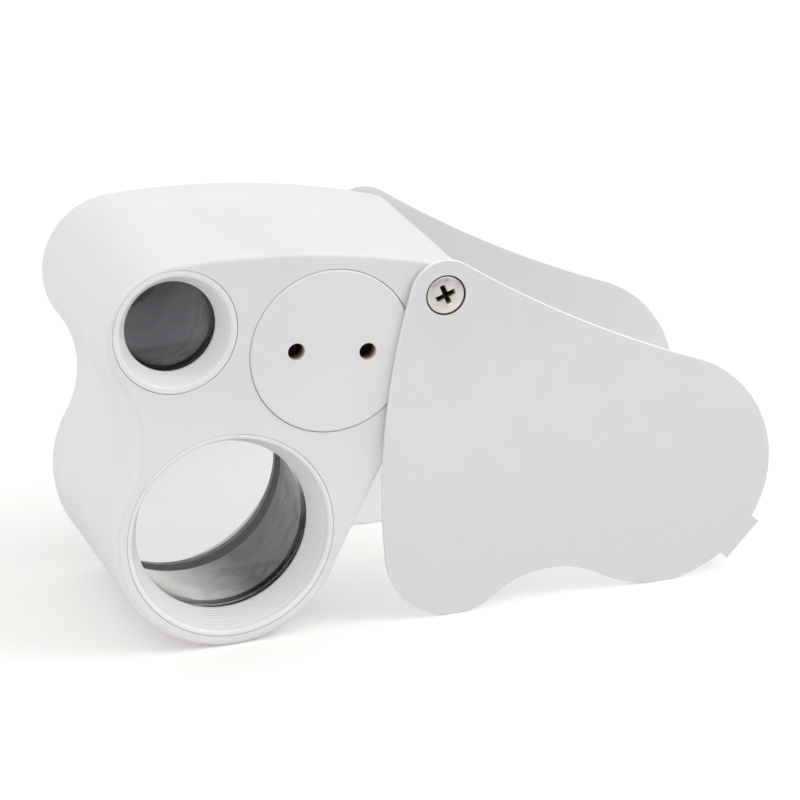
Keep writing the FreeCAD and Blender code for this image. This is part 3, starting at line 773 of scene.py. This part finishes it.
class LOUPE_OT_lamp_circuit(bpy.types.Operator):
    """Finish the cells, contacts, board, lamps and switch inside the housing"""
    bl_idname = "loupe.lamp_circuit"
    bl_label = "Lamp circuit"

    def execute(self, context):
        settings = finishes()
        # Black ABS is dull from the tool, acetal waxy, and a chip's glaze smooth
        for name, roughness, slot, node in (
                ("ABS_moulded_black", 0.5, "sleeve_black", "battery_sleeve"),
                ("Acetal_moulded_black", 0.4, "pin_black", "switch_pin"),
                ("Alumina_chip_black_glazed", 0.3, "resistor_black", "series_resistor")):
            dress(moulded_plastic(name, settings.black, roughness, settings.grain), slot, node)
        # Nickel-plated steel cans: bright, with a fine draw
        steel = rolled_metal("Steel_cell_can_nickel_plated", settings.steel, roughness=0.24)
        dress(steel, "cell_steel", "button_cell_front", "button_cell_middle", "button_cell_rear")
        # Rolled brass strip: yellow, with lengthwise scratches
        brass = rolled_metal("Brass_rolled_strip", settings.brass, roughness=0.3)
        dress(brass, "contact_brass", "cap_contact", "cell_spring", "contact_strip", "switch_leaf")
        # Solder mask over glass laminate: deep green gloss, with the weave of 0.5 mm just showing
        board, tree, surface, place = start_material("Laminate_green_solder_mask", {"IOR": 1.5})
        warp, weft = (add(tree, "ShaderNodeTexWave", {
            "wave_type": "BANDS", "bands_direction": way, "Vector": place,
            "Scale": WAVE_BAND / mm(0.5)}).outputs["Fac"] for way in ("X", "Z"))
        threads = add(tree, "ShaderNodeMath", {"operation": "MULTIPLY", 0: warp, 1: weft})
        feed(surface, "Base Color", add(tree, "ShaderNodeMix", {
            "data_type": "RGBA", "Factor": threads, "A": tone(settings.mask, 0.8),
            "B": tone(settings.mask)}))
        feed(surface, "Roughness", patches(tree, place, mm(3), 0.16, 0.3))
        feed(surface, "Normal", add(tree, "ShaderNodeBump", {
            "Height": threads, "Strength": 0.15, "Distance": mm(0.02)}))
        dress(board, "board_green", "circuit_board")
        # Clear cast epoxy, faintly yellow, which shows the cup and the phosphor inside
        lamp, tree, surface, place = start_material("Epoxy_cast_clear", {
            "IOR": 1.54, "Transmission Weight": 0.94, "Base Color": tone(settings.epoxy)})
        feed(surface, "Roughness", patches(tree, place, mm(1), high=0.02))
        dress(lamp, "led_clear", "large_lens_led", "small_lens_led")
        return {"FINISHED"}


def lamp_cup(sizes):
    """Cup with a conical hollow, on its post, facing up."""
    cup = start_rod(sizes.cup_radius, sizes.cup_height, sizes.corners)
    inset(cup, faces_up, sizes.cup_rim, 0)
    extrude(cup, many_sided(faces_up), (0, 0, -sizes.cup_depth))
    resize(cup, many_sided(faces_up), sizes.cup_taper, (0, 0, 0))
    inset(cup, lowest(cup), sizes.cup_radius - sizes.post_radius, 0)
    extrude(cup, many_sided(lowest(cup)), (0, 0, -sizes.post_length))
    soften(cup, sizes.soft_edge)
    return cup


def lamp_fill(sizes):
    """Crowned plug of phosphor that fills the cup's hollow, facing up."""
    radius = sizes.cup_radius - sizes.cup_rim - 3 * sizes.fill_gap
    fill = start_rod(radius, sizes.cup_depth - sizes.fill_gap, sizes.corners)
    resize(fill, lowest(fill), sizes.cup_taper, (0, 0, 0))
    # Two steps of a third of the width make the crown
    inset(fill, faces_up, radius / 3, sizes.fill_gap)
    inset(fill, many_sided(faces_up), radius / 3, sizes.fill_gap / 2)
    soften(fill, sizes.soft_edge)
    return fill


class LOUPE_OT_lamp_chips(bpy.types.Operator):
    """Model the cup and the phosphor inside each lamp"""
    bl_idname = "loupe.lamp_chips"
    bl_label = "Lamp chips"

    def execute(self, context):
        settings = finishes()
        sizes = context.scene.loupe_lamps
        # Silver-plated lead frame: bright and slightly warm
        plated = rolled_metal("Steel_silver_plated", settings.plating, roughness=0.2)
        # Silicone with phosphor: matt egg yellow, a little cloudy
        yellow, tree, surface, place = start_material("Silicone_phosphor_yellow", {"IOR": 1.41})
        feed(surface, "Base Color", clouded(
            tree, place, settings.phosphor, size=mm(0.3), share=0.85))
        feed(surface, "Roughness", patches(tree, place, mm(0.2), 0.45, 0.6))
        grit = add(tree, "ShaderNodeTexNoise", {
            "Vector": place, "Scale": 1 / mm(0.1), "Detail": 2})
        feed(surface, "Normal", add(tree, "ShaderNodeBump", {
            "Height": grit, "Strength": 0.1, "Distance": mm(0.01)}))
        for model, ending, material, slot in (
                (lamp_cup, "lamp_cup", plated, "cell_steel"),
                (lamp_fill, "lamp_phosphor", yellow, "led_clear")):
            for node in ("large_lens_led", "small_lens_led"):
                piece = model(sizes)
                centre = middle(node)
                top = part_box(node)[1][1]
                put(piece, (centre[0], top - sizes.cup_sink, centre[2]), -math.pi / 2)
                piece.name = node.replace("lens_led", ending)
                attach(piece, "lens_body")
                coat(piece, material)
        return {"FINISHED"}


# Studio

def seen_plainly(tree):
    """Light's path, and one where the eye sees something itself or through glass."""
    path = add(tree, "ShaderNodeLightPath").outputs
    return path, add(tree, "ShaderNodeMath", {
        "operation": "MAXIMUM", 0: path["Is Camera Ray"], 1: path["Is Transmission Ray"]})


def out_towards(azimuth, elevation):
    """Way out from the object; azimuth 0 leads to the front, a quarter turn to the right."""
    return Vector((math.sin(azimuth) * math.cos(elevation),
                   -math.cos(azimuth) * math.cos(elevation), math.sin(elevation)))


def lamp_at(name, strength, width, azimuth, elevation):
    """A soft distant lamp, with its width in the sky and its place in degrees."""
    light = bpy.data.lights.new(name, "SUN")
    light.energy = strength
    light.angle = math.radians(width)
    lamp = bpy.data.objects.new(name, light)
    bpy.context.scene.collection.objects.link(lamp)
    lamp.location = out_towards(math.radians(azimuth), math.radians(elevation))
    lamp.rotation_mode = "QUATERNION"
    lamp.rotation_quaternion = lamp.location.to_track_quat("Z", "Y")


class LOUPE_OT_studio(bpy.types.Operator):
    """Set up the pale floor, the soft lamps and the camera"""
    bl_idname = "loupe.studio"
    bl_label = "Studio"

    def execute(self, context):
        settings = context.scene.loupe_studio
        select_nothing()
        bpy.ops.mesh.primitive_plane_add(size=settings.floor_span, location=(0, 0, 0))
        floor = context.object
        floor.name = "floor"
        # Matt white card: it glows a little where it is seen, which keeps its shadows pale
        card, tree, surface, place = start_material("Card_matt_white", {
            "Specular IOR Level": 0.1, "Roughness": 0.9,
            "Emission Color": tone(settings.floor_glow)})
        path, seen = seen_plainly(tree)
        feed(surface, "Emission Strength", seen)
        # Towards the camera the table ends, which only shows in the metal and the glass
        depth = add(tree, "ShaderNodeSeparateXYZ", {0: place}).outputs["Y"]
        table_end = add(tree, "ShaderNodeMapRange", {
            "Value": depth, "From Min": -settings.dim_start,
            "From Max": -settings.dim_start - settings.dim_reach})
        thrown = add(tree, "ShaderNodeMix", {
            "data_type": "RGBA", "Factor": table_end, "A": tone(settings.floor_bounce),
            "B": tone(settings.floor_end)})
        feed(surface, "Base Color", add(tree, "ShaderNodeMix", {
            "data_type": "RGBA", "Factor": seen, "A": thrown, "B": tone(settings.floor)}))
        floor.data.materials.append(card)

        world = bpy.data.worlds.new("Studio")
        context.scene.world = world
        world.use_nodes = True
        tree = world.node_tree
        tree.nodes.clear()
        path, seen = seen_plainly(tree)
        seen = add(tree, "ShaderNodeMath", {
            "operation": "MAXIMUM", 0: seen, 1: path["Is Glossy Ray"]})
        strength = add(tree, "ShaderNodeMapRange", {"Value": seen, "To Min": settings.room_light})
        # The room behind the camera is dim, which shows in the metal and the glass
        way = add(tree, "ShaderNodeTexCoord").outputs["Generated"]
        facing = add(tree, "ShaderNodeVectorMath", {
            "operation": "DOT_PRODUCT", 0: way, 1: settings.dim_side})
        dim = add(tree, "ShaderNodeMapRange", {
            "Value": facing, "From Min": 0.6, "From Max": 0.95, "To Max": 1 - settings.dim_light})
        dim = add(tree, "ShaderNodeMath", {
            "operation": "MULTIPLY", 0: dim, 1: path["Is Glossy Ray"]})
        strength = add(tree, "ShaderNodeMath", {"operation": "SUBTRACT", 0: strength, 1: dim})
        sky = add(tree, "ShaderNodeBackground", {"Color": tone(WHITE), "Strength": strength})
        add(tree, "ShaderNodeOutputWorld", {"Surface": sky})

        lamp_at("key_lamp", settings.key_light, width=35, azimuth=62, elevation=40)
        lamp_at("fill_lamp", settings.fill_light, width=80, azimuth=-75, elevation=4)
        lamp_at("top_lamp", settings.top_light, width=90, azimuth=10, elevation=80)

        lens = bpy.data.cameras.new("camera")
        lens.lens = settings.camera_lens
        lens.sensor_width = SENSOR_WIDTH
        lens.clip_start = 0.01
        lens.clip_end = 100
        camera = bpy.data.objects.new("camera", lens)
        context.scene.collection.objects.link(camera)
        back = out_towards(settings.camera_azimuth, settings.camera_elevation)
        level = Vector((0, 0, 1)).cross(back).normalized()
        upright = back.cross(level)
        roll = settings.camera_roll
        right = math.cos(roll) * level + math.sin(roll) * upright
        up = math.cos(roll) * upright - math.sin(roll) * level
        camera.matrix_world = (Matrix.Translation(settings.camera_place)
                               @ Matrix((right, up, back)).transposed().to_4x4())
        context.scene.camera = camera
        context.scene.view_settings.view_transform = "Standard"
        return {"FINISHED"}


class LOUPE_PT_panel(bpy.types.Panel):
    """The loupe's operators, and the sizes and colours that they use"""
    bl_idname = "LOUPE_PT_panel"
    bl_label = "Folding loupe"
    bl_space_type = "VIEW_3D"
    bl_region_type = "UI"
    bl_category = "Loupe"

    def draw(self, context):
        for operator in OPERATORS:
            self.layout.operator(operator.bl_idname)
        for setting in SETTINGS:
            group = getattr(context.scene, setting)
            for name in group.__annotations__:
                self.layout.prop(group, name)


SETTINGS = {
    "loupe_finishes": LoupeFinishes,
    "loupe_screws": LoupeScrews,
    "loupe_lamps": LoupeLamps,
    "loupe_studio": LoupeStudio,
}
OPERATORS = (
    LOUPE_OT_housing, LOUPE_OT_eyepiece_rings, LOUPE_OT_battery_cap, LOUPE_OT_barrels,
    LOUPE_OT_lenses, LOUPE_OT_cover, LOUPE_OT_pivot, LOUPE_OT_lamp_circuit, LOUPE_OT_lamp_chips,
    LOUPE_OT_studio,
)
CLASSES = (*SETTINGS.values(), *OPERATORS, LOUPE_PT_panel)


def register():
    for group in CLASSES:
        bpy.utils.register_class(group)
    for name, group in SETTINGS.items():
        setattr(bpy.types.Scene, name, PointerProperty(type=group))


def unregister():
    for name in SETTINGS:
        delattr(bpy.types.Scene, name)
    for group in reversed(CLASSES):
        bpy.utils.unregister_class(group)


def main():
    register()
    bpy.ops.loupe.housing()
    bpy.ops.loupe.eyepiece_rings()
    bpy.ops.loupe.battery_cap()
    bpy.ops.loupe.barrels()
    bpy.ops.loupe.lenses()
    bpy.ops.loupe.cover()
    bpy.ops.loupe.pivot()
    bpy.ops.loupe.lamp_circuit()
    bpy.ops.loupe.lamp_chips()
    bpy.ops.loupe.studio()


if __name__ == "__main__":
    main()
